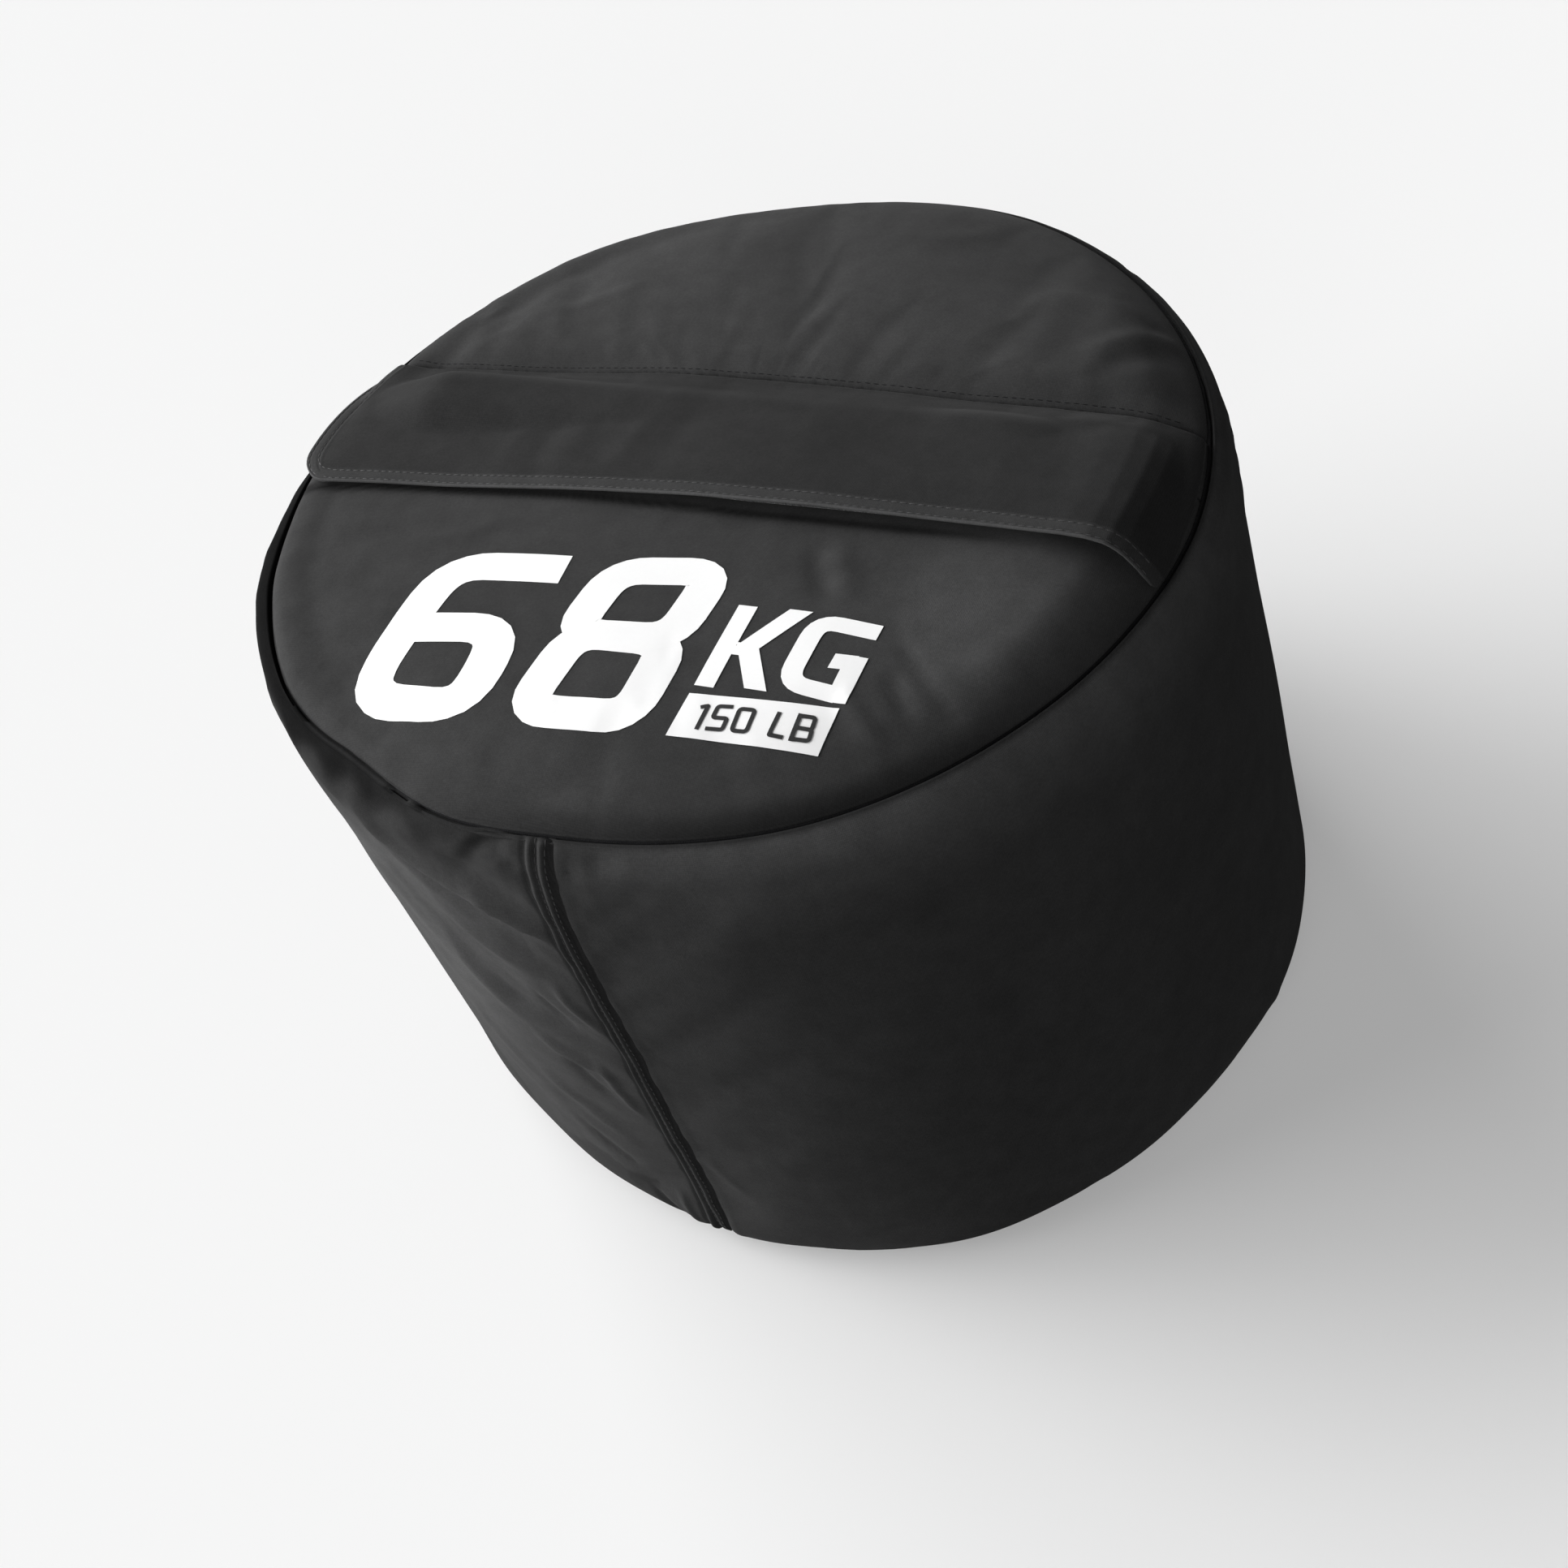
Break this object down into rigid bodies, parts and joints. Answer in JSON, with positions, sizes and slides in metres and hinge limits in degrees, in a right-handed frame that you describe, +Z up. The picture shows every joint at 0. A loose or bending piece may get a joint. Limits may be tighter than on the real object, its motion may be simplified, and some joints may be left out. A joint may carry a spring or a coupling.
{
  "type": "sandbag trainer",
  "caption": "Free-standing round training sandbag with a crowned top, a flap over a zipped filling opening and one lapped side seam.",
  "frame": {"origin": "on the floor plane at the middle of the flat base, under the middle of the rim seam", "axes": "+Z up, +X along the flap to the right seen from the front, -Y to the front, where the side seam is"},
  "size_m": [0.4374, 0.425, 0.3285],
  "materials": {
    "bag_cloth": "heavy matte woven nylon, charcoal black",
    "flap_cloth": "heavy matte woven nylon, charcoal black, double stitched hem",
    "hook_and_loop": "black hook-and-loop pile",
    "tape": "black woven tape",
    "zip_coil": "black nylon coil",
    "dark_metal": "dark plated zinc",
    "liner_cloth": "grey coated liner cloth",
    "sand": "dry fine sand"
  },
  "bodies": {
    "bag": {"side_wall": "bag_cloth", "bottom_panel": "bag_cloth", "top_front_panel": "bag_cloth", "top_rear_panel": "bag_cloth", "rear_facing_strip": "bag_cloth", "panel_loop_tape": "hook_and_loop", "top_seam_binding": "tape", "bottom_seam_binding": "tape", "side_seam_binding": "tape", "zip_tape_front": "tape", "zip_tape_rear": "tape", "zip_coil_front": "zip_coil", "zip_coil_rear": "zip_coil", "zip_stop_left": "dark_metal", "zip_stop_right": "dark_metal", "liner_bag": "liner_cloth", "liner_throat": "liner_cloth", "throat_tie": "tape", "sand_fill": "sand"},
    "flap": {"closure_flap": "flap_cloth", "flap_hook_tape": "hook_and_loop"},
    "zip_slider": {"zip_slider": "dark_metal"},
    "zip_pull": {"zip_pull": "dark_metal"}
  },
  "joints": [
    {"name": "flap_hinge", "type": "hinge", "parent": "bag", "child": "flap", "pos_m": [0, 0.0544, 0.3232], "axis": [-1, 0, 0], "range_deg": [0, 165]},
    {"name": "zip_slide", "type": "slide", "parent": "bag", "child": "zip_slider", "axis": [-1, 0, 0], "range_m": [0, 0.25]},
    {"name": "pull_hinge", "type": "hinge", "parent": "zip_slider", "child": "zip_pull", "pos_m": [0.1255, 0.02, 0.3222], "axis": [0, 1, 0], "range_deg": [0, 7]}
  ]
}
